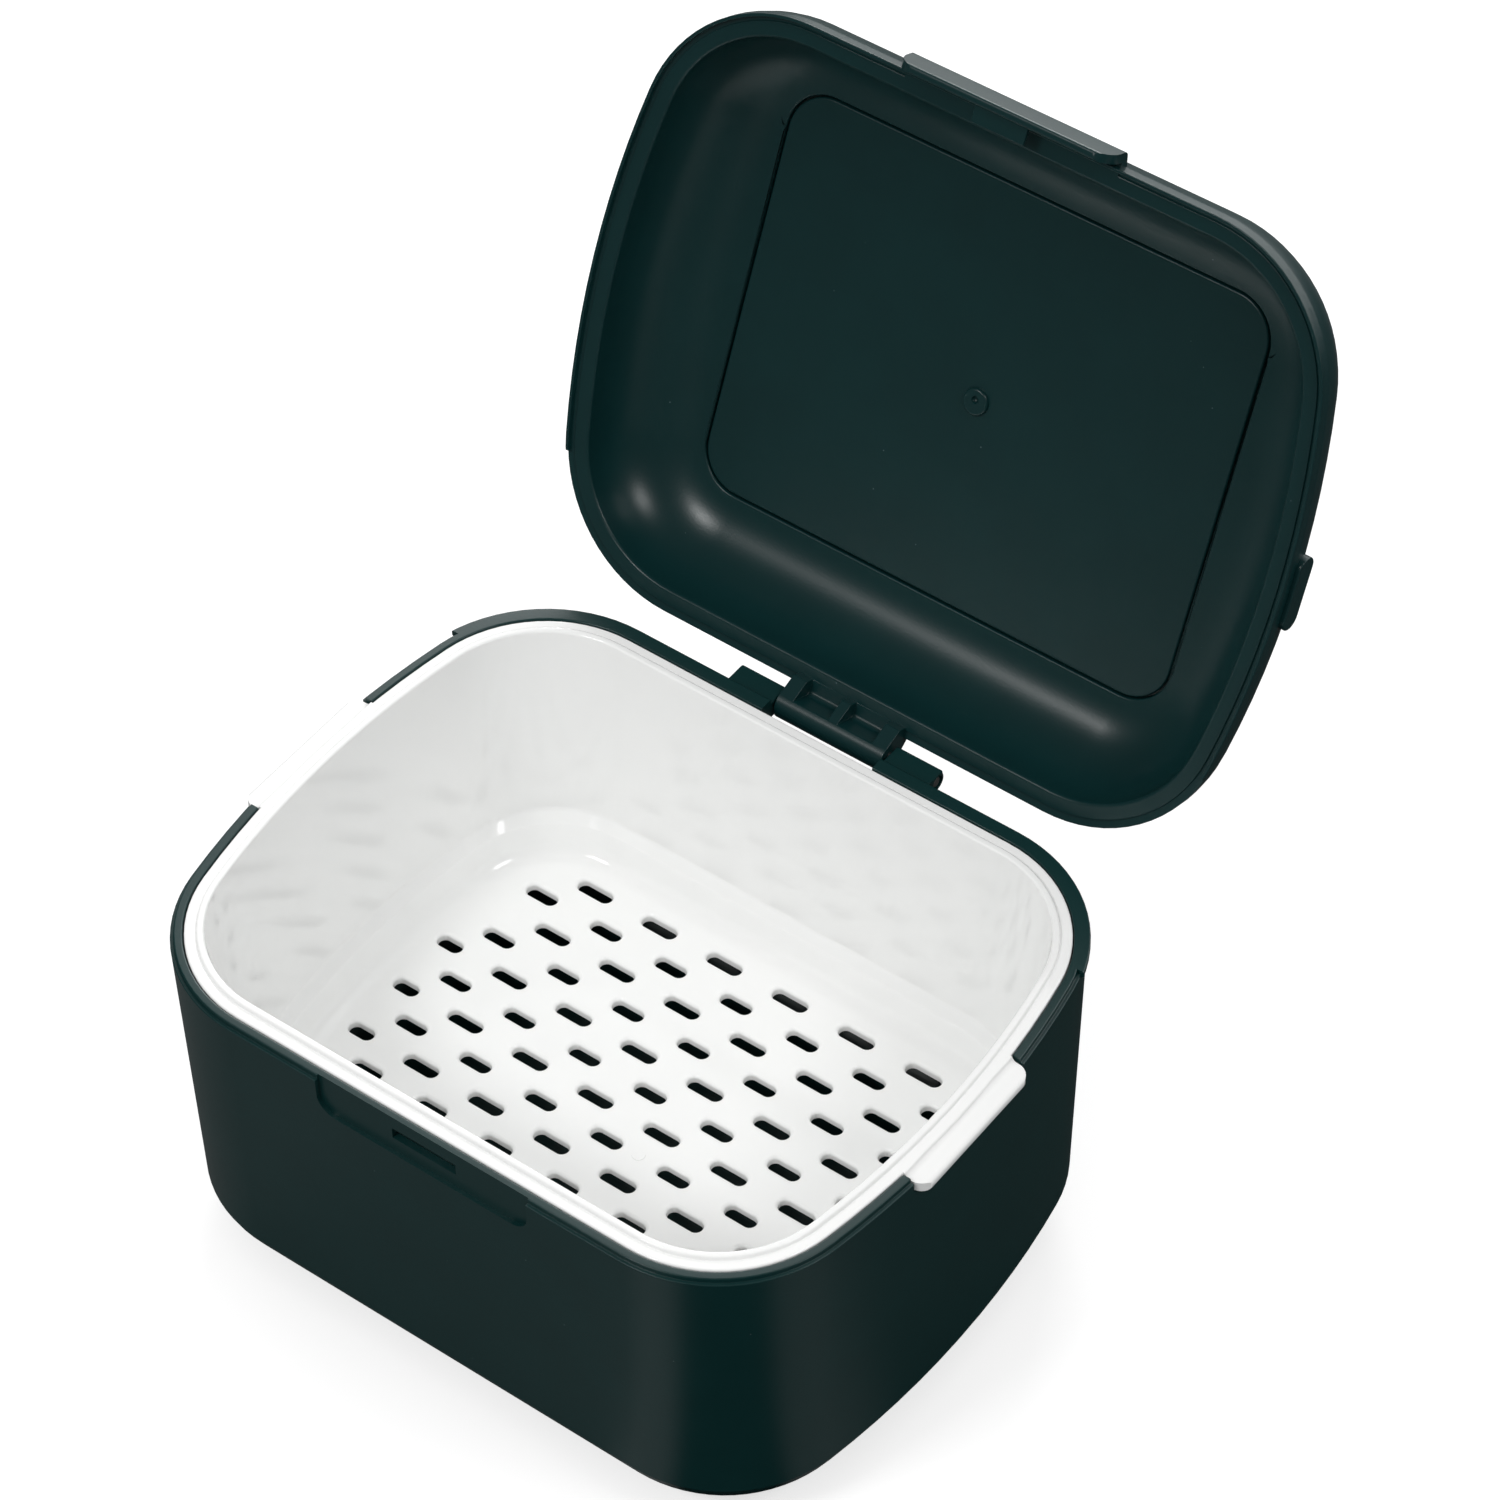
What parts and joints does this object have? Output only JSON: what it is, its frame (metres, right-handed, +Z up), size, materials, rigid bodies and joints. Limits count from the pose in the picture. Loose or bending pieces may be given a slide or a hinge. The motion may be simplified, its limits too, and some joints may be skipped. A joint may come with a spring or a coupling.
{
  "type": "denture case",
  "caption": "Denture case: a box with bowed ends, a hinged domed lid with a front snap tab, and a lift-out slotted strainer basket with finger tabs.",
  "frame": {"origin": "centre of the flat underside of the box, on the surface that the case stands on", "axes": "+X to the right along the front, seen from in front; +Y from the front latch to the hinge at the back; +Z up"},
  "size_m": [0.1012, 0.1234, 0.1239],
  "materials": {
    "box_plastic": "satin moulded polypropylene, very dark teal",
    "lid_plastic": "satin moulded polypropylene, very dark teal",
    "basket_plastic": "smooth white moulded polypropylene",
    "pin_steel": "drawn stainless wire"
  },
  "bodies": {
    "box": {"box_shell": "box_plastic", "hinge_pin": "pin_steel", "strainer_basket": "basket_plastic"},
    "lid": {"lid_shell": "lid_plastic", "lid_panel": "lid_plastic"}
  },
  "joints": [
    {"name": "lid_hinge", "type": "hinge", "parent": "box", "child": "lid", "pos_m": [0, 0.0417, 0.0474], "axis": [1, 0, 0], "range_deg": [0, 114]}
  ]
}
